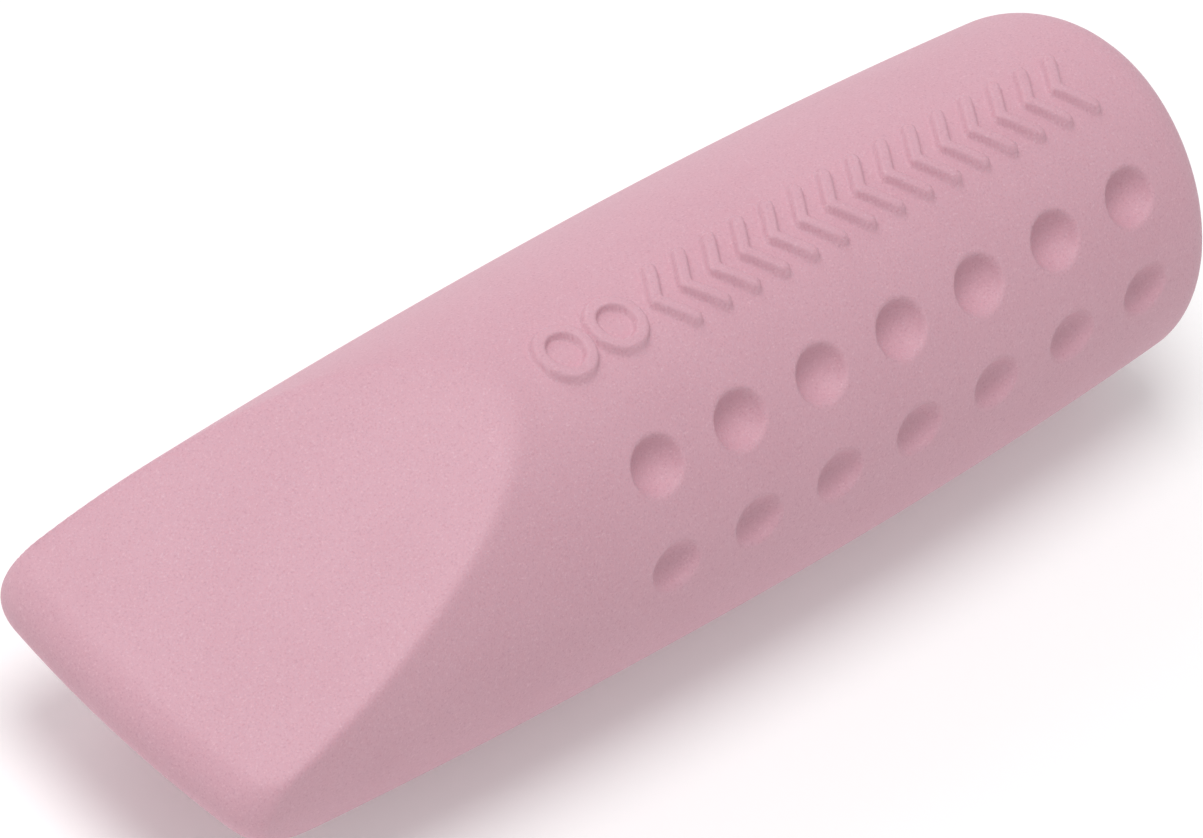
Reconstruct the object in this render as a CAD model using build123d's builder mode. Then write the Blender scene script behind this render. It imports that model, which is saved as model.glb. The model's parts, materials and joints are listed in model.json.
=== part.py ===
from build123d import *

from math import cos, radians, sin
import os

# A pencil-end eraser cap: one moulded piece of soft rubber with a blind bore for the pencil.
# The frame's origin is the centre of the bore's mouth.  +X points out of the mouth, so the
# rubbing tip lies at x = -LENGTH, +Z is up, through the ridge above the top facet, and +Y
# completes the frame.  All sizes are in millimetres.

# Overall size
LENGTH = 45.0  # from the rubbing edge to the mouth
BELLY_X = -20.0  # the fullest section, a little nearer the mouth
END_SCALE = 0.885  # size of the section at either end, against the belly

# Section at the belly: a round with a slight three-sided swell and one corner on top
MEAN_RADIUS = 6.6
FLATTENING = 0.20  # how far the sides stand out, and the top and bottom draw in
RIDGE_SWELL = 0.18  # how far the three soft corners stand out
OUTLINE_POINTS = 24

# Rounded mouth end
MOUTH_ROUND_LENGTH = 2.3  # along the axis
MOUTH_ROUND_DEPTH = 1.7  # towards the axis

# Chisel facets and rubbing edge
TOP_FACET_ANGLE = 22.0
TOP_FACET_HEIGHT = 0.5  # above the axis at the rubbing edge
UNDER_FACET_ANGLE = 24.0
UNDER_FACET_DEPTH = 1.4  # below the axis at the rubbing edge
TIP_BOW = 34.0  # radius of the rubbing edge, seen from above
TIP_ROUND = 1.35  # close to a full round between the facets

# Flat that the cap lies on, where the soft rubber settles under its own weight
REST_FLAT_DEPTH = 0.12  # above the lowest point of the full barrel

# Bore for the pencil
BORE_RADIUS = 3.5
BORE_DEPTH = 20.0

# Grip dimples: two rows run along the near flank, and the far one has them turned half round
DIMPLE_COUNT = 7
DIMPLE_PITCH = 3.76
DIMPLE_FIRST_X = -26.65
DIMPLE_ROWS = (  # turn from straight up, radius of the hollow, and depth
    (44.5, 1.25, 0.68),
    (71.0, 1.40, 0.40),
)

# Raised marks along the ridge: two rings, then a run of arrowheads that point at the tip
MARK_HEIGHT = 0.25  # above the barrel
MARK_STROKE = 0.46
MARK_WIDTH = 2.2  # across the ridge
MARK_ROOT_Z = 4.8  # inside the wall, between the bore and the barrel's surface
MARK_OFFSET_Y = -0.45
RING_FIRST_X = -27.5
RING_PITCH = 2.3
RING_COUNT = 2
ARROW_FIRST_X = -23.4
ARROW_PITCH = 1.35
ARROW_COUNT = 15
ARROW_SWEEP = 0.8  # how far the arms trail behind the point


def section_point(angle, scale, raised=0.0):
    """Point of the outline, raised off it, whose outward normal is turned by angle from +Z."""
    a = radians(angle)
    reach = MEAN_RADIUS - FLATTENING * cos(2 * a) + RIDGE_SWELL * cos(3 * a)
    slope = 2 * FLATTENING * sin(2 * a) - 3 * RIDGE_SWELL * sin(3 * a)
    y = reach * sin(a) + slope * cos(a)
    z = reach * cos(a) - slope * sin(a)
    return scale * y + raised * sin(a), scale * z + raised * cos(a)


def barrel_scale(x):
    """Size of the section at x: largest at the belly, smaller towards both ends."""
    reach = LENGTH + BELLY_X if x < BELLY_X else -BELLY_X
    return 1 - (1 - END_SCALE) * ((x - BELLY_X) / reach) ** 2


def rounded_scale(x):
    """Barrel size with the mouth end's quarter-ellipse rounding taken off."""
    into_round = max(0.0, x + MOUTH_ROUND_LENGTH) / MOUTH_ROUND_LENGTH
    drop = MOUTH_ROUND_DEPTH * (1 - (1 - into_round**2) ** 0.5)
    return barrel_scale(x) - drop / MEAN_RADIUS


def section_plane(x):
    """Plane across the barrel at x, whose local x is the part's +Y and local y its +Z."""
    return Plane(origin=(x, 0, 0), x_dir=(0, 1, 0), z_dir=(1, 0, 0))


# Directions round a section, and stations along the barrel that close up round the mouth
turns = [360 * i / OUTLINE_POINTS for i in range(OUTLINE_POINTS)]
body_stations = [-LENGTH + (LENGTH - MOUTH_ROUND_LENGTH) * i / 7 for i in range(8)]
mouth_stations = [-MOUTH_ROUND_LENGTH * (1 - sin(radians(a))) for a in (22.5, 45, 67.5, 90)]

# Raised marks: arrowheads and rings cut from a slightly larger barrel
with BuildPart() as marks:
    for x in body_stations:
        with BuildSketch(section_plane(x)):
            with BuildLine():
                scale = barrel_scale(x)
                Spline([section_point(turn, scale, MARK_HEIGHT) for turn in turns], periodic=True)
            make_face()
    loft()
    with BuildSketch(Plane.XY.offset(MARK_ROOT_Z)):
        for i in range(RING_COUNT):
            with Locations((RING_FIRST_X + i * RING_PITCH, MARK_OFFSET_Y)):
                Circle(MARK_WIDTH / 2)
                Circle(MARK_WIDTH / 2 - MARK_STROKE, mode=Mode.SUBTRACT)
        for i in range(ARROW_COUNT):
            point_x = ARROW_FIRST_X + i * ARROW_PITCH
            arm_x = point_x + ARROW_SWEEP
            arms = [
                (arm_x, MARK_OFFSET_Y - MARK_WIDTH / 2),
                (point_x, MARK_OFFSET_Y),
                (arm_x, MARK_OFFSET_Y + MARK_WIDTH / 2),
            ]
            with BuildLine():
                Polyline(*arms)
                offset(amount=MARK_STROKE / 2, side=Side.BOTH)
            make_face()
    extrude(amount=MEAN_RADIUS, mode=Mode.INTERSECT)

with BuildPart() as eraser_cap:
    # Barrel, lofted through its sections
    for x in body_stations + mouth_stations:
        with BuildSketch(section_plane(x)):
            with BuildLine():
                scale = rounded_scale(x)
                Spline([section_point(turn, scale) for turn in turns], periodic=True)
            make_face()
    loft()

    # Two facets that make the chisel tip
    top_facet = Plane(
        origin=(-LENGTH, 0, TOP_FACET_HEIGHT),
        x_dir=(0, 1, 0),
        z_dir=(-sin(radians(TOP_FACET_ANGLE)), 0, cos(radians(TOP_FACET_ANGLE))),
    )
    under_facet = Plane(
        origin=(-LENGTH, 0, -UNDER_FACET_DEPTH),
        x_dir=(0, 1, 0),
        z_dir=(-sin(radians(UNDER_FACET_ANGLE)), 0, -cos(radians(UNDER_FACET_ANGLE))),
    )
    split(bisect_by=top_facet, keep=Keep.BOTTOM)
    split(bisect_by=under_facet, keep=Keep.BOTTOM)

    # Rubbing edge: bowed outwards in the middle, and rounded along its edges
    bow_ends = TIP_BOW - (TIP_BOW**2 - MEAN_RADIUS**2) ** 0.5
    with BuildSketch(Plane.XY.offset(-2 * MEAN_RADIUS)):
        with BuildLine():
            bow = ThreePointArc(
                (bow_ends - LENGTH, MEAN_RADIUS),
                (-LENGTH, 0),
                (bow_ends - LENGTH, -MEAN_RADIUS),
            )
            Polyline(
                bow @ 1,
                (bow_ends - LENGTH, -2 * MEAN_RADIUS),
                (LENGTH, -2 * MEAN_RADIUS),
                (LENGTH, 2 * MEAN_RADIUS),
                (bow_ends - LENGTH, 2 * MEAN_RADIUS),
                bow @ 0,
            )
        make_face()
    extrude(amount=4 * MEAN_RADIUS, mode=Mode.INTERSECT)
    tip_face = eraser_cap.faces().sort_by(Axis.X)[0]
    fillet(tip_face.edges(), radius=TIP_ROUND)

    # Resting flat along the bottom of the belly
    belly_bottom = section_point(180, 1.0)[1]
    split(bisect_by=Plane.XY.offset(belly_bottom + REST_FLAT_DEPTH), keep=Keep.TOP)

    # Dimples, two rows on each flank
    for flank in (0, 180):
        for turn, ball_radius, depth in DIMPLE_ROWS:
            angle = flank - turn
            facing = (0, sin(radians(angle)), cos(radians(angle)))
            for i in range(DIMPLE_COUNT):
                x = DIMPLE_FIRST_X + i * DIMPLE_PITCH
                y, z = section_point(angle, barrel_scale(x), ball_radius - depth)
                with Locations(Plane(origin=(x, y, z), x_dir=facing, z_dir=(1, 0, 0))):
                    Sphere(ball_radius, mode=Mode.SUBTRACT)

    # Blind bore, drilled from the mouth
    with Locations(section_plane(0)):
        Hole(radius=BORE_RADIUS, depth=BORE_DEPTH)

    add(marks.part)

eraser_cap.part.label = "eraser_cap"
os.makedirs("parts", exist_ok=True)
export_step(eraser_cap.part, "parts/eraser_cap.step")
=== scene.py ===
"""Eraser cap: a one-piece rubber cap with a chisel tip, grip dimples and raised ridge marks.

The cap lies along X, its rubbing tip at the low end and its bore opening towards +X.  Every
length is in metres.
"""

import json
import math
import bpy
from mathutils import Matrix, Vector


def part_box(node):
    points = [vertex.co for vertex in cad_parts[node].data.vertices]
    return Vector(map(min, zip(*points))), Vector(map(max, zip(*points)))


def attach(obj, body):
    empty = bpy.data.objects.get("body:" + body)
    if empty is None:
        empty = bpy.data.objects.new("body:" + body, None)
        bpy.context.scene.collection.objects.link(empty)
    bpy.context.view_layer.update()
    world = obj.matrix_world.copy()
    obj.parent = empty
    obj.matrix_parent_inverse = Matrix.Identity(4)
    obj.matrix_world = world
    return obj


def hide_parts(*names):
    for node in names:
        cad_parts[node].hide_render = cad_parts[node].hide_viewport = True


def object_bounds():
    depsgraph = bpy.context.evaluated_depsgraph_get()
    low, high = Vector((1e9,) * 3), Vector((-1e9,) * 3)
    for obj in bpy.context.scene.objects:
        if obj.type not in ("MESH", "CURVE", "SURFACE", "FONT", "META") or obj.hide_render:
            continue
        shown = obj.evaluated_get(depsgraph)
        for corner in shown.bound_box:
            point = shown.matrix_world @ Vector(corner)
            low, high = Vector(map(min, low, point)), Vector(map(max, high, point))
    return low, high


bl_info = {
    "name": "Eraser Cap",
    "version": (1, 0, 0),
    "blender": (4, 5, 0),
    "location": "3D View > Sidebar > Eraser Cap",
    "description": "Builds a moulded rubber eraser cap and a soft studio round it",
    "category": "Add Mesh",
}

import bpy
import numpy as np
from bpy.props import (
    FloatProperty,
    FloatVectorProperty,
    IntProperty,
    PointerProperty,
)
from bpy.types import Operator, Panel, PropertyGroup
from mathutils import Matrix, Vector

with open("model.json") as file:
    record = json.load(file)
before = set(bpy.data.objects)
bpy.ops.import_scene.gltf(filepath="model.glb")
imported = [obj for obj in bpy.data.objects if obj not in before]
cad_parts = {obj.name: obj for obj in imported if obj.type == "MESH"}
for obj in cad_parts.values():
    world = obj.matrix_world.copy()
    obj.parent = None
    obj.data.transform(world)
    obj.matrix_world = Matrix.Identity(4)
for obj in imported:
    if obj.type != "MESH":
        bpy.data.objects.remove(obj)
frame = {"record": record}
CAD_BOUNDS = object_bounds()

MM = 0.001
NODE = "eraser_cap"
LOW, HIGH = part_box(NODE)
BORE = next(m for m in frame["record"]["mounts"] if m["name"] == "pencil_bore")
REST = next(m for m in frame["record"]["mounts"] if m["name"] == "rest_flat")

# Rings round the moulding
NOSE_START = 1.3 * MM  # from the tip's end to the first ring round the barrel
DETAIL_START = 16 * MM  # from the tip's end to where the finest rings begin
MOUTH_START = 0.6 * MM  # from the mouth to where the rings round the barrel end
WALL_START = 1.0 * MM  # from the mouth to the first ring of the bore's plain wall
FINE_SPACING = 0.12 * MM
FINEST_SPACING = 0.08 * MM
TIP_RINGS = 28
MOUTH_RINGS = 14
WALL_RINGS = 14
QUARTER_TURN = (22.5, 45, 67.5, 90)  # degrees at which a rounded corner has rings

# Rays that find the skin: how far inside the form they start, and how far they reach
SKIN_REACH = 9 * MM
TIP_RAY_INSET = 0.5 * MM
TIP_RAY_REACH = 3 * MM
MOUTH_RAY_INSET = 3 * MM
MOUTH_RAY_REACH = 4 * MM

# Columns round the moulding: where each run starts, and its spacing, in degrees from the ridge.
# They are closest together over the marks, then over the dimples, and widest underneath.
COLUMNS = ((-180, 1.6), (-85, 0.9), (-30, 1.2), (-14, 0.5), (8, 1.3), (95, 0.9), (150, 1.6))

# Where the facets' edges turn from the tip's soft blend to the plain crease
TIP_BLEND_START = 0.2 * MM
TIP_BLEND_LENGTH = 1.7 * MM

# Shares of the darker cloud tone, the painted shade in the grain's hollows and the painted glints
# on its peaks in the rubber's colour
CLOUD_SHARE = 0.22
PIT_SHADE_SHARE = 0.45
PAINTED_GLINT_SHARE = 0.34
GRAIN_DEPTH = 0.02 * MM

# Studio floor, and the gap that keeps it clear of the flat the cap lies on
FLOOR_RADIUS = 1.5
FLOOR_CORNERS = 96
FLOOR_GAP = 0.01 * MM

# Studio lamps: broad discs at one distance, each in its own direction from the cap
LAMP_SIZE = 0.36
LAMP_DISTANCE = 0.6
KEY_DIRECTION = (-0.2, 0.08, 0.95)
RIM_DIRECTION = (0.0, 0.8, 0.6)

# Point the camera looks at, from the middle of the cap's length
CAMERA_TARGET_Y = 0.60 * MM
CAMERA_TARGET_Z = -0.2 * MM


# ---------------------------------------------------------------------------------------------
# Sizes and colours that a user would change
# ---------------------------------------------------------------------------------------------


def length_property(name, description, default):
    """A length with Blender's own units."""
    return FloatProperty(
        name=name,
        description=description,
        default=default,
        precision=5,
        unit="LENGTH",
        subtype="DISTANCE",
    )


def angle_property(name, description, degrees):
    """An angle, stated in degrees and kept in radians."""
    return FloatProperty(
        name=name,
        description=description,
        default=math.radians(degrees),
        unit="ROTATION",
        subtype="ANGLE",
    )


def colour_property(name, description, default):
    """A linear colour."""
    return FloatVectorProperty(
        name=name,
        description=description,
        default=default,
        size=3,
        min=0.0,
        max=1.0,
        subtype="COLOR",
    )


class CapSizes(PropertyGroup):
    """Sizes of the moulding."""

    length: length_property("Length", "From the rubbing edge to the mouth", HIGH.x - LOW.x)
    belly: length_property("Belly", "From the mouth to the fullest section", 20.0 * MM)
    end_scale: FloatProperty(
        name="End scale",
        description="Size of the section at either end, against the belly",
        default=0.885,
    )
    mean_radius: length_property("Radius", "Mean radius of the fullest section", 6.6 * MM)
    flattening: length_property("Flattening", "How far the sides stand out", 0.20 * MM)
    ridge_swell: length_property("Ridge", "How far the three soft corners stand out", 0.18 * MM)
    mouth_round: length_property("Mouth rounding", "Radius round the open end", 1.8 * MM)
    bore_lip: length_property("Bore lip", "Rounding of the bore's edge", 0.25 * MM)
    top_facet_angle: angle_property("Top facet", "Slope of the facet above the tip", 22.0)
    top_facet_height: length_property("Top facet height", "Above the axis at the tip", 0.5 * MM)
    under_facet_angle: angle_property("Under facet", "Slope of the facet below the tip", 24.0)
    under_facet_depth: length_property("Under facet depth", "Below the axis at the tip", 1.4 * MM)
    crease_softness: length_property("Crease", "Blend along the edges of the facets", 0.20 * MM)
    tip_softness: length_property("Tip", "Blend round the sides of the tip", 1.30 * MM)
    tip_bow: length_property("Tip bow", "Radius of the rubbing edge, seen from above", 40.0 * MM)
    rest_softness: length_property("Rest", "Blend round the flat the cap lies on", 0.02 * MM)


class DimpleSizes(PropertyGroup):
    """Sizes of the grip dimples."""

    count: IntProperty(name="Count", description="Dimples in a row", default=7, min=1)
    pitch: length_property("Pitch", "From one dimple to the next", 3.76 * MM)
    first: length_property("First", "From the mouth to the row's far end", 26.65 * MM)
    upper_radius: length_property("Upper radius", "Radius of an upper hollow", 1.25 * MM)
    lower_radius: length_property("Lower radius", "Radius of a lower hollow", 1.40 * MM)
    upper_turn: angle_property("Upper row", "Turn of the upper row from the ridge", 44.5)
    lower_turn: angle_property("Lower row", "Turn of the lower row from the ridge", 71.0)
    upper_depth: length_property("Upper depth", "Depth of the upper row", 0.68 * MM)
    lower_depth: length_property("Lower depth", "Depth of the lower row", 0.50 * MM)
    upper_narrowing: FloatProperty(
        name="Upper narrowing",
        description="Width of an upper dimple round the barrel, against its length",
        default=0.91,
    )
    lower_narrowing: FloatProperty(
        name="Lower narrowing",
        description="Width of a lower dimple round the barrel, against its length",
        default=0.80,
    )
    lip: length_property("Lip", "Blend round each rim", 0.04 * MM)


class MarkSizes(PropertyGroup):
    """Sizes of the raised marks along the ridge."""

    height: length_property("Height", "Above the barrel", 0.25 * MM)
    stroke: length_property("Stroke", "Width of a line", 0.46 * MM)
    shoulder: length_property("Shoulder", "Width of a line's sloping side", 0.12 * MM)
    width: length_property("Width", "Across the ridge", 2.2 * MM)
    offset: length_property("Offset", "Of the marks' middle line from the ridge", -0.45 * MM)
    ring_count: IntProperty(name="Rings", description="How many rings", default=2, min=1)
    ring_first: length_property("First ring", "From the mouth", 27.5 * MM)
    ring_pitch: length_property("Ring pitch", "From one ring to the next", 2.3 * MM)
    arrow_count: IntProperty(name="Arrowheads", description="How many", default=15, min=1)
    arrow_first: length_property("First arrowhead", "From the mouth", 23.4 * MM)
    arrow_pitch: length_property("Arrow pitch", "From one arrowhead to the next", 1.35 * MM)
    arrow_sweep: length_property("Arrow sweep", "How far the arms trail", 0.8 * MM)


class RubberFinish(PropertyGroup):
    """Colours and grain of the rubber."""

    colour: colour_property("Rubber", "Main colour of the rubber", (0.643, 0.364, 0.434))
    deep_colour: colour_property("Deep tone", "Darker cloudy tone", (0.60, 0.320, 0.388))
    # Painted shade: the darker colour laid into the grain's hollows
    pit_shade_colour: colour_property("Pits", "Dark bottoms of the grain", (0.50, 0.25, 0.315))
    # Painted glints: the pale colour laid onto the grain's peaks
    painted_glint_colour: colour_property("Specks", "Pale sparkle of the grain", (0.84, 0.58, 0.64))
    grain_size: length_property("Grain", "Size of the mould's spark-eroded grain", 0.075 * MM)
    cloud_size: length_property("Clouds", "Size of the soft colour clouds", 3.5 * MM)
    roughness: FloatProperty(name="Roughness", description="Mean roughness", default=0.56)


class StudioSetup(PropertyGroup):
    """Camera, lights and floor."""

    azimuth: angle_property("Azimuth", "Direction the camera stands in", -58.1)
    elevation: angle_property("Elevation", "Height of the camera above the floor", 43.5)
    roll: angle_property("Roll", "Turn of the camera about its line of sight", 18.8)
    distance: length_property("Distance", "From the camera to the cap", 511.0 * MM)
    frame_width: length_property("Frame width", "Width seen at the cap", 38.25 * MM)
    floor_colour: colour_property("Floor", "Colour of the floor", (0.88, 0.88, 0.88))
    floor_glow: FloatProperty(
        name="Floor glow",
        description="Light that comes up through the floor, as on a light table",
        default=0.14,
    )
    sky_strength: FloatProperty(name="Sky", description="Light from all round", default=0.50)
    key_power: FloatProperty(name="Key", description="Key light", default=2.0, subtype="POWER")
    rim_power: FloatProperty(name="Rim", description="Rim light", default=0.5, subtype="POWER")


# ---------------------------------------------------------------------------------------------
# Shader nodes written as expressions
# ---------------------------------------------------------------------------------------------


class Wire:
    """An output socket that can stand in arithmetic: each operation adds a Math node."""

    def __init__(self, recipe, socket):
        self.recipe = recipe
        self.socket = socket

    def maths(self, operation, first, second):
        return self.recipe.add("ShaderNodeMath", {"operation": operation}, {0: first, 1: second})

    def __add__(self, other):
        return self.maths("ADD", self, other)

    def __mul__(self, other):
        return self.maths("MULTIPLY", self, other)

    def __rsub__(self, other):
        return self.maths("SUBTRACT", other, self)

    __radd__ = __add__


class Recipe:
    """A material's node tree."""

    def __init__(self, name):
        self.material = bpy.data.materials.new(name)
        self.material.use_nodes = True
        self.tree = self.material.node_tree
        self.tree.nodes.clear()

    def add(self, kind, settings=None, inputs=None, output=0):
        """Adds a node: settings first, then values or wires by socket name or number."""
        node = self.tree.nodes.new(kind)
        for key, value in (settings or {}).items():
            setattr(node, key, value)
        for key, value in (inputs or {}).items():
            if isinstance(value, Wire):
                self.tree.links.new(value.socket, node.inputs[key])
            else:
                node.inputs[key].default_value = value
        return Wire(self, node.outputs[output]) if node.outputs else None

    def mix_colours(self, factor, first, second):
        """Blend of two colours; a Mix node's colour sockets are its inputs 6 and 7."""
        return self.add(
            "ShaderNodeMix",
            {"data_type": "RGBA"},
            {0: factor, 6: first, 7: second},
            output=2,
        )

    def fade(self, value, low, high):
        """0 where value is below low, 1 above high, and smooth between."""
        return self.add(
            "ShaderNodeMapRange",
            {"interpolation_type": "SMOOTHSTEP"},
            {"Value": value, "From Min": low, "From Max": high},
        )

    def noise(self, place, size, detail=2.0, roughness=0.5):
        """Noise whose lumps are about size across."""
        return self.add(
            "ShaderNodeTexNoise",
            {"noise_dimensions": "3D"},
            {"Vector": place, "Scale": 1 / size, "Detail": detail, "Roughness": roughness},
        )


def opaque(colour):
    """A colour with full alpha."""
    return (*colour, 1.0)


def rubber_material(finish):
    """Matt rubber with the fine grain of a spark-eroded mould and soft clouds of tone. Painted
    shade darkens the grain's hollows and painted glints lighten its peaks.
    """
    recipe = Recipe("eraser_rubber")
    place = recipe.add("ShaderNodeTexCoord", output="Object")

    clouds = recipe.noise(place, finish.cloud_size, detail=3.0)
    grain = recipe.noise(place, finish.grain_size, detail=2.0, roughness=0.7)
    coarse = recipe.noise(place, 4 * finish.grain_size, detail=2.0)

    # Noise values crowd round 0.5, so each fade starts close to it
    # Painted glints: the grain's peaks are lightened in colour
    painted_glint = recipe.fade(grain, 0.56, 0.72)
    # Painted shade: the grain's hollows are darkened in colour; the same mask also makes them
    # rougher
    grain_hollows = recipe.fade(1.0 - grain, 0.54, 0.70)

    cloudy = recipe.fade(clouds, 0.42, 0.66) * CLOUD_SHARE
    tone = recipe.mix_colours(cloudy, opaque(finish.colour), opaque(finish.deep_colour))
    tone = recipe.mix_colours(grain_hollows * PIT_SHADE_SHARE, tone, opaque(finish.pit_shade_colour))
    tone = recipe.mix_colours(painted_glint * PAINTED_GLINT_SHARE, tone, opaque(finish.painted_glint_colour))

    roughness = finish.roughness - 0.06 + coarse * 0.12 + grain_hollows * 0.10
    relief = grain * 0.75 + coarse * 0.55
    bump = recipe.add(
        "ShaderNodeBump",
        inputs={"Strength": 0.8, "Distance": GRAIN_DEPTH, "Height": relief},
    )
    shader = recipe.add(
        "ShaderNodeBsdfPrincipled",
        inputs={
            "Base Color": tone,
            "Roughness": roughness,
            "Normal": bump,
            "Specular IOR Level": 0.42,
            "Subsurface Weight": 0.10,
            "Subsurface Radius": (1.0, 0.45, 0.4),
            "Subsurface Scale": 0.2 * MM,
        },
    )
    recipe.add("ShaderNodeOutputMaterial", inputs={"Surface": shader})
    return recipe.material


def floor_material(colour, glow):
    """Plain pale sheet with the faintest mottle, lit a little from below."""
    recipe = Recipe("studio_floor")
    place = recipe.add("ShaderNodeTexCoord", output="Object")
    mottle = recipe.fade(recipe.noise(place, 30 * MM), 0.35, 0.65) * 0.02
    shade = recipe.mix_colours(mottle, opaque(colour), opaque([0.95 * c for c in colour]))
    shader = recipe.add(
        "ShaderNodeBsdfPrincipled",
        inputs={
            "Base Color": shade,
            "Roughness": 0.9,
            "Specular IOR Level": 0.1,
            "Emission Color": opaque((1.0, 1.0, 1.0)),
            "Emission Strength": glow,
        },
    )
    recipe.add("ShaderNodeOutputMaterial", inputs={"Surface": shader})
    return recipe.material


# ---------------------------------------------------------------------------------------------
# The cap's form
# ---------------------------------------------------------------------------------------------


def smooth_max(first, second, softness):
    """The larger of two, blended over softness: it rounds the edge where two surfaces cut."""
    near = np.maximum(softness - np.abs(first - second), 0.0)
    return np.maximum(first, second) + near**2 / (4 * softness)


def round_max(first, second, radius):
    """The larger of two, with a quarter circle of that radius along a square corner."""
    corner = np.hypot(np.maximum(first + radius, 0.0), np.maximum(second + radius, 0.0))
    return np.minimum(np.maximum(first, second), -radius) + corner


def smooth_step(value):
    """0 below 0, 1 above 1, and a smooth rise between."""
    clipped = np.clip(value, 0.0, 1.0)
    return clipped * clipped * (3 - 2 * clipped)


def nearest_of_run(x, first, pitch, count):
    """Distance of x past the nearest of a run of marks."""
    index = np.clip(np.round((x - first) / pitch), 0, count - 1)
    return x - first - index * pitch


class CapForm:
    """The outer skin as a function of place: negative inside the rubber, and zero on the skin."""

    def __init__(self, cap, dimples, marks):
        self.cap = cap
        self.dimples = dimples
        self.marks = marks
        y, z = self.outline(np.radians(np.arange(-180.0, 180.0)))
        self.outline_angle = np.arctan2(y, z)
        self.outline_radius = np.hypot(y, z)
        self.dimple_list = self.place_dimples()

    def outline(self, turn):
        """Point (y, z) of the belly's outline whose outward normal is turned by turn from +Z."""
        cap = self.cap
        reach = cap.mean_radius - cap.flattening * np.cos(2 * turn)
        reach = reach + cap.ridge_swell * np.cos(3 * turn)
        slope = 2 * cap.flattening * np.sin(2 * turn) - 3 * cap.ridge_swell * np.sin(3 * turn)
        y = reach * np.sin(turn) + slope * np.cos(turn)
        z = reach * np.cos(turn) - slope * np.sin(turn)
        return y, z

    def scale_at(self, x):
        """Size of the section at x, against the belly."""
        cap = self.cap
        reach = np.where(x < -cap.belly, cap.length - cap.belly, cap.belly)
        return 1 - (1 - cap.end_scale) * ((x + cap.belly) / reach) ** 2

    def place_dimples(self):
        """Centre, turn, radius and narrowing of each dimple: two rows on either flank."""
        d = self.dimples
        rows = (
            (d.upper_turn, d.upper_radius, d.upper_depth, d.upper_narrowing),
            (d.lower_turn, d.lower_radius, d.lower_depth, d.lower_narrowing),
        )
        placed = []
        for flank in (0, math.pi):
            for turn, radius, depth, narrowing in rows:
                angle = flank - turn
                y, z = self.outline(angle)
                lift = radius - depth
                for i in range(d.count):
                    x = -d.first + i * d.pitch
                    scale = self.scale_at(x)
                    cy = scale * y + lift * math.sin(angle)
                    cz = scale * z + lift * math.cos(angle)
                    placed.append(((x, cy, cz), angle, radius, narrowing))
        return placed

    def mark_height(self, x, y):
        """Height of the raised marks over the barrel, seen from above."""
        m = self.marks
        across = np.abs(y - m.offset)

        ring_x = nearest_of_run(x, -m.ring_first, m.ring_pitch, m.ring_count)
        ring_gap = np.abs(np.hypot(ring_x, across) - (m.width - m.stroke) / 2)

        middle = -m.arrow_first + m.arrow_sweep / 2
        arrow_x = nearest_of_run(x, middle, m.arrow_pitch, m.arrow_count) + m.arrow_sweep / 2
        arm = np.array((m.arrow_sweep, m.width / 2))
        along = np.clip((arrow_x * arm[0] + across * arm[1]) / (arm @ arm), 0.0, 1.0)
        arrow_gap = np.hypot(arrow_x - along * arm[0], across - along * arm[1])

        gap = np.minimum(ring_gap, arrow_gap)
        return m.height * smooth_step((m.stroke / 2 + m.shoulder / 2 - gap) / m.shoulder)

    def chisel(self, x, y, z):
        """How far outside the two facets, and the full round between them at the tip."""
        cap = self.cap
        top, under = cap.top_facet_angle, cap.under_facet_angle
        above = math.tan(math.pi / 4 - top / 2)
        below = math.tan(math.pi / 4 - under / 2)
        radius = (cap.top_facet_height + cap.under_facet_depth) / (above + below)
        along = x + cap.length - radius - y**2 / (2 * cap.tip_bow)
        up = z - cap.top_facet_height + radius * above

        over_top = up * math.cos(top) - along * math.sin(top)
        over_under = -up * math.cos(under) - along * math.sin(under)
        before_top = along * math.cos(top) + up * math.sin(top) < 0
        before_under = along * math.cos(under) - up * math.sin(under) < 0
        flat = np.maximum(over_top, over_under)
        return np.where(before_top & before_under, np.hypot(along, up), flat) - radius

    def edge_softness(self, x):
        """Softness of the facets' edges: widest round the tip."""
        cap = self.cap
        near_tip = 1 - smooth_step((x + cap.length - TIP_BLEND_START) / TIP_BLEND_LENGTH)
        return cap.crease_softness + (cap.tip_softness - cap.crease_softness) * near_tip

    def skin(self, points):
        """How far each point stands outside the skin."""
        cap = self.cap
        x, y, z = points.T
        radius = np.interp(
            np.arctan2(y, z), self.outline_angle, self.outline_radius, period=2 * math.pi
        )
        barrel = np.hypot(y, z) - radius * self.scale_at(x)
        barrel = barrel - np.where(z > 0, self.mark_height(x, y), 0.0)

        form = round_max(barrel, x, cap.mouth_round)
        form = smooth_max(form, self.chisel(x, y, z), self.edge_softness(x))
        form = smooth_max(form, REST["pos_m"][2] - z, cap.rest_softness)
        for (cx, cy, cz), angle, ball_radius, narrowing in self.dimple_list:
            outward = (y - cy) * math.sin(angle) + (z - cz) * math.cos(angle)
            around = (y - cy) * math.cos(angle) - (z - cz) * math.sin(angle)
            gap = np.sqrt((x - cx) ** 2 + outward**2 + (around / narrowing) ** 2)
            form = smooth_max(form, ball_radius - gap, self.dimples.lip)
        return form

    def cast(self, starts, heading, reach):
        """Where rays from inside the rubber meet its skin, found by halving."""
        near = np.zeros(len(starts))
        far = np.full(len(starts), reach)
        starts_outside = (self.skin(starts) >= 0).any()
        ends_inside = (self.skin(starts + far[:, None] * heading) <= 0).any()
        if starts_outside or ends_inside:
            raise RuntimeError("A ray didn't start inside the cap and end outside it")
        for _ in range(24):
            middle = (near + far) / 2
            inside = self.skin(starts + middle[:, None] * heading) < 0
            near = np.where(inside, middle, near)
            far = np.where(inside, far, middle)
        return starts + near[:, None] * heading


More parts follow.
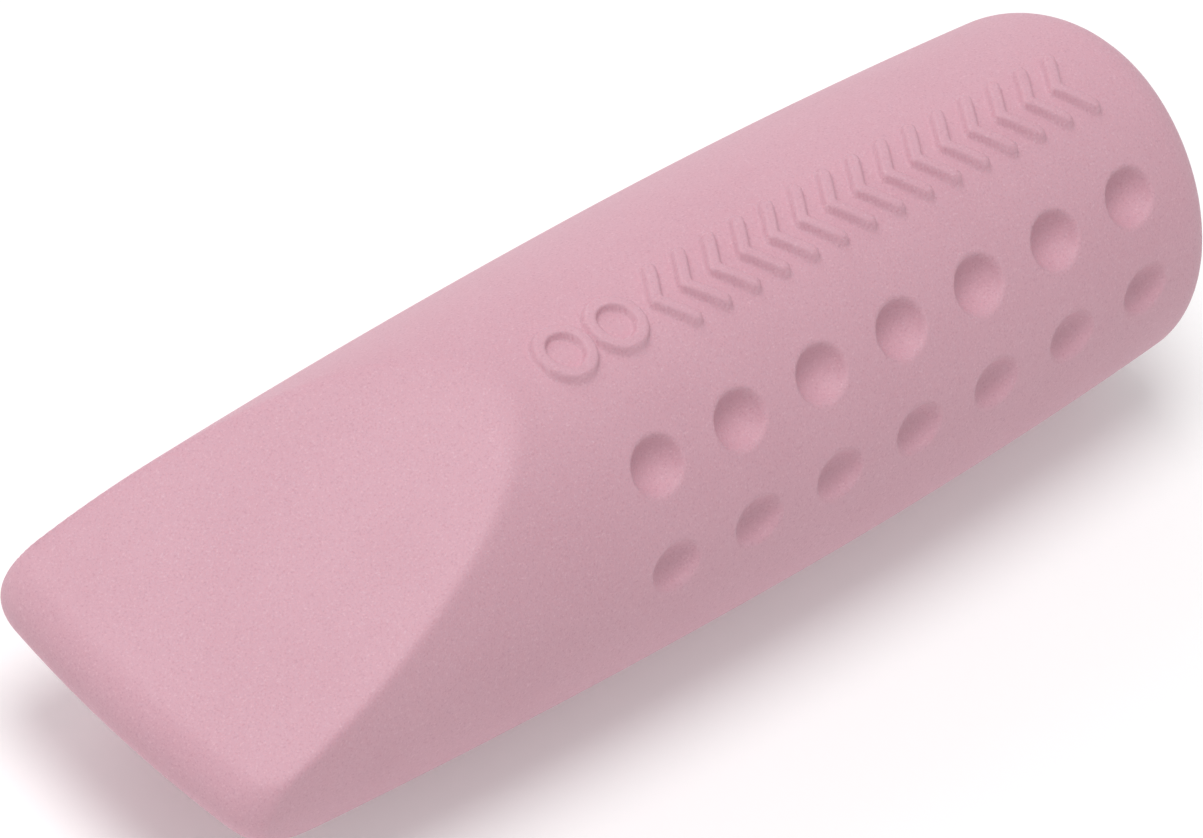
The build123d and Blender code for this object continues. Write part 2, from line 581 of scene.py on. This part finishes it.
def graded(stops, end):
    """Values from each stop to the next at that stop's own spacing, without the end."""
    values = []
    edges = [start for start, _ in stops] + [end]
    for (start, spacing), finish in zip(stops, edges[1:]):
        count = max(1, round((finish - start) / spacing))
        values.append(np.linspace(start, finish, count, endpoint=False))
    return np.concatenate(values)


def ring_points(x, y, z):
    """Points of a ring from values that may be single numbers or arrays."""
    return np.stack(np.broadcast_arrays(x, y, z), axis=-1).astype(float)


def tip_rings(form, first_ring):
    """Rings from the tip's middle outwards: the first barrel ring drawn in and cast forwards."""
    rings = []
    for i in range(1, TIP_RINGS):
        shrink = math.sin(i / TIP_RINGS * math.pi / 2)
        inner = first_ring * (1, shrink, shrink) + (TIP_RAY_INSET, 0, 0)
        rings.append(form.cast(inner, np.array((-1.0, 0, 0)), TIP_RAY_REACH))
    return rings


def barrel_rings(form, directions):
    """Rings round the barrel: fine over the tip, finest over the marks and the dimples."""
    cap = form.cap
    stations = graded(
        (
            (-cap.length + NOSE_START, FINE_SPACING),
            (-cap.length + DETAIL_START, FINEST_SPACING),
            (-cap.mouth_round, FINE_SPACING),
        ),
        -MOUTH_START,
    )
    starts = ring_points(stations[:, None], 0, 0) + np.zeros((1, len(directions), 1))
    headings = np.broadcast_to(directions, starts.shape)
    skin = form.cast(starts.reshape(-1, 3), headings.reshape(-1, 3), SKIN_REACH)
    return skin.reshape(starts.shape)


def mouth_rings(form, last_ring, lip):
    """Rings over the mouth's end: the last barrel ring drawn in to the bore's lip."""
    rings = []
    for i in range(1, MOUTH_RINGS + 1):
        blend = math.sin(i / MOUTH_RINGS * math.pi / 2)
        flat = last_ring * (0, 1, 1) * (1 - blend) + lip * blend
        starts = flat - (MOUTH_RAY_INSET, 0, 0)
        rings.append(form.cast(starts, np.array((1.0, 0, 0)), MOUTH_RAY_REACH))
    return rings


def bore_rings(cap, directions, rim_x):
    """Rings down the bore: rounded lip, wall, rounded corner and floor."""
    bore_radius = BORE["dims"]["r_mm"] * MM
    bore_length = BORE["dims"]["length_mm"] * MM
    corner = 2 * cap.bore_lip
    rings = []
    for angle in np.radians(QUARTER_TURN):
        radius = bore_radius + cap.bore_lip - cap.bore_lip * math.sin(angle)
        x = rim_x - cap.bore_lip * (1 - math.cos(angle))
        rings.append(ring_points(x, directions[:, 1] * radius, directions[:, 2] * radius))
    for x in np.linspace(-WALL_START, -bore_length + corner, WALL_RINGS):
        rings.append(directions * bore_radius + (x, 0, 0))
    for angle in np.radians(QUARTER_TURN):
        radius = bore_radius - corner * (1 - math.cos(angle))
        x = -bore_length + corner * (1 - math.sin(angle))
        rings.append(directions * radius + (x, 0, 0))
    for part in (0.75, 0.5, 0.25):
        rings.append(directions * (bore_radius - corner) * part - (bore_length, 0, 0))
    return rings


def cap_rings(form):
    """Rings of points from the tip's middle, over the skin, and down the bore to its floor."""
    y, z = form.outline(np.radians(graded(COLUMNS, 180)))
    directions = ring_points(0, y, z) / np.hypot(y, z)[:, None]
    lip = directions * (BORE["dims"]["r_mm"] * MM + form.cap.bore_lip)

    barrel = barrel_rings(form, directions)
    tip = tip_rings(form, barrel[0])
    mouth = mouth_rings(form, barrel[-1], lip)
    bore = bore_rings(form.cap, directions, mouth[-1][:, 0])
    return np.array([*tip, *barrel, *mouth, *bore])


def closed_mesh(name, rings):
    """A mesh through rings of points, closed at both ends by a fan round a middle point."""
    count, around = rings.shape[:2]
    index = np.arange(count * around).reshape(count, around)
    turned = np.roll(index, -1, axis=1)
    quads = np.stack((index[:-1], index[1:], turned[1:], turned[:-1]), axis=-1).reshape(-1, 4)
    ends = np.array((rings[0].mean(axis=0), rings[-1].mean(axis=0)))
    first, last = count * around, count * around + 1
    first_fan = [(first, a, b) for a, b in zip(index[0], turned[0])]
    last_fan = [(last, b, a) for a, b in zip(index[-1], turned[-1])]
    faces = [tuple(map(int, face)) for face in quads.tolist() + first_fan + last_fan]
    mesh = bpy.data.meshes.new(name)
    mesh.from_pydata(np.concatenate((rings.reshape(-1, 3), ends)).tolist(), [], faces)
    mesh.shade_smooth()
    mesh.validate()
    return mesh


# ---------------------------------------------------------------------------------------------
# Operators
# ---------------------------------------------------------------------------------------------


class ERASERCAP_OT_cap(Operator):
    """Build the moulded cap: barrel, facets, dimples, raised marks and bore in one skin"""

    bl_idname = "eraser_cap.cap"
    bl_label = "Eraser Cap"

    def execute(self, context):
        scene = context.scene
        form = CapForm(scene.cap_sizes, scene.dimple_sizes, scene.mark_sizes)
        mesh = closed_mesh("cap_moulding", cap_rings(form))
        piece = bpy.data.objects.new("cap_moulding", mesh)
        scene.collection.objects.link(piece)
        mesh.materials.append(rubber_material(scene.rubber_finish))
        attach(piece, "root")
        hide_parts(NODE)
        return {"FINISHED"}


class ERASERCAP_OT_stage(Operator):
    """Set the pale floor, the soft lights and the camera round the cap"""

    bl_idname = "eraser_cap.stage"
    bl_label = "Studio"

    def execute(self, context):
        scene = context.scene
        setup = scene.studio_setup
        make_floor(scene, setup)
        make_lights(scene, setup)
        make_camera(scene, setup)
        scene.view_settings.view_transform = "Standard"
        return {"FINISHED"}


def make_floor(scene, setup):
    """A wide round sheet of pale paper under the cap."""
    height = CAD_BOUNDS[0].z - FLOOR_GAP
    turns = np.linspace(0, 2 * math.pi, FLOOR_CORNERS, endpoint=False)
    rim = [(FLOOR_RADIUS * math.cos(t), FLOOR_RADIUS * math.sin(t), height) for t in turns]
    mesh = bpy.data.meshes.new("studio_floor")
    mesh.from_pydata(rim, [], [tuple(range(len(rim)))])
    mesh.materials.append(floor_material(setup.floor_colour, setup.floor_glow))
    floor = bpy.data.objects.new("studio_floor", mesh)
    scene.collection.objects.link(floor)


def aim(thing, direction, distance, target):
    """Places a light in a direction from a target, and turns it to face the target."""
    back = Vector(direction).normalized()
    thing.location = target + back * distance
    thing.rotation_euler = back.to_track_quat("Z", "Y").to_euler()


def make_lights(scene, setup):
    """An even pale sky, a key light from above and a rim light from the far side."""
    world = bpy.data.worlds.new("studio_sky")
    world.use_nodes = True
    background = world.node_tree.nodes["Background"]
    background.inputs["Color"].default_value = (1.0, 1.0, 1.0, 1.0)
    background.inputs["Strength"].default_value = setup.sky_strength
    scene.world = world

    middle = (LOW + HIGH) / 2
    lamps = (
        ("key", setup.key_power, KEY_DIRECTION),
        ("rim", setup.rim_power, RIM_DIRECTION),
    )
    for name, power, direction in lamps:
        light = bpy.data.lights.new(name, "AREA")
        light.shape = "DISK"
        light.size = LAMP_SIZE
        light.energy = power
        lamp = bpy.data.objects.new(name, light)
        scene.collection.objects.link(lamp)
        aim(lamp, direction, LAMP_DISTANCE, middle)


def make_camera(scene, setup):
    """A long lens that looks along the cap from its tip, turned so that the cap rises."""
    middle = (LOW + HIGH) / 2
    target = Vector((middle.x, CAMERA_TARGET_Y, CAMERA_TARGET_Z))
    a, e = setup.azimuth, setup.elevation
    back = Vector((math.sin(a) * math.cos(e), -math.cos(a) * math.cos(e), math.sin(e)))
    level = Vector((math.cos(a), math.sin(a), 0))
    right = Matrix.Rotation(setup.roll, 3, back) @ level
    up = back.cross(right)
    data = bpy.data.cameras.new("camera")
    data.lens = data.sensor_width * setup.distance / setup.frame_width
    data.clip_start = 0.01
    camera = bpy.data.objects.new("camera", data)
    scene.collection.objects.link(camera)
    turn = Matrix((right, up, back)).transposed().to_4x4()
    camera.matrix_world = Matrix.Translation(target + back * setup.distance) @ turn
    scene.camera = camera


class ERASERCAP_PT_panel(Panel):
    """Sizes, colours and build buttons"""

    bl_idname = "ERASERCAP_PT_panel"
    bl_label = "Eraser Cap"
    bl_space_type = "VIEW_3D"
    bl_region_type = "UI"
    bl_category = "Eraser Cap"

    def draw(self, context):
        layout = self.layout
        for group in GROUPS:
            box = layout.box()
            settings = getattr(context.scene, group)
            for key in settings.bl_rna.properties.keys():
                if key not in ("rna_type", "name"):
                    box.prop(settings, key)
        for operator in OPERATORS:
            layout.operator(operator.bl_idname)


GROUPS = {
    "cap_sizes": CapSizes,
    "dimple_sizes": DimpleSizes,
    "mark_sizes": MarkSizes,
    "rubber_finish": RubberFinish,
    "studio_setup": StudioSetup,
}
OPERATORS = (ERASERCAP_OT_cap, ERASERCAP_OT_stage)
CLASSES = (*GROUPS.values(), *OPERATORS, ERASERCAP_PT_panel)


def register():
    """Adds the classes to Blender and the settings to its scenes."""
    for cls in CLASSES:
        bpy.utils.register_class(cls)
    for name, group in GROUPS.items():
        setattr(bpy.types.Scene, name, PointerProperty(type=group))


def unregister():
    """Takes the settings and the classes away again."""
    for name in GROUPS:
        delattr(bpy.types.Scene, name)
    for cls in reversed(CLASSES):
        bpy.utils.unregister_class(cls)


def main():
    """Builds everything in order."""
    register()
    bpy.ops.eraser_cap.cap()
    bpy.ops.eraser_cap.stage()


if __name__ == "__main__":
    main()
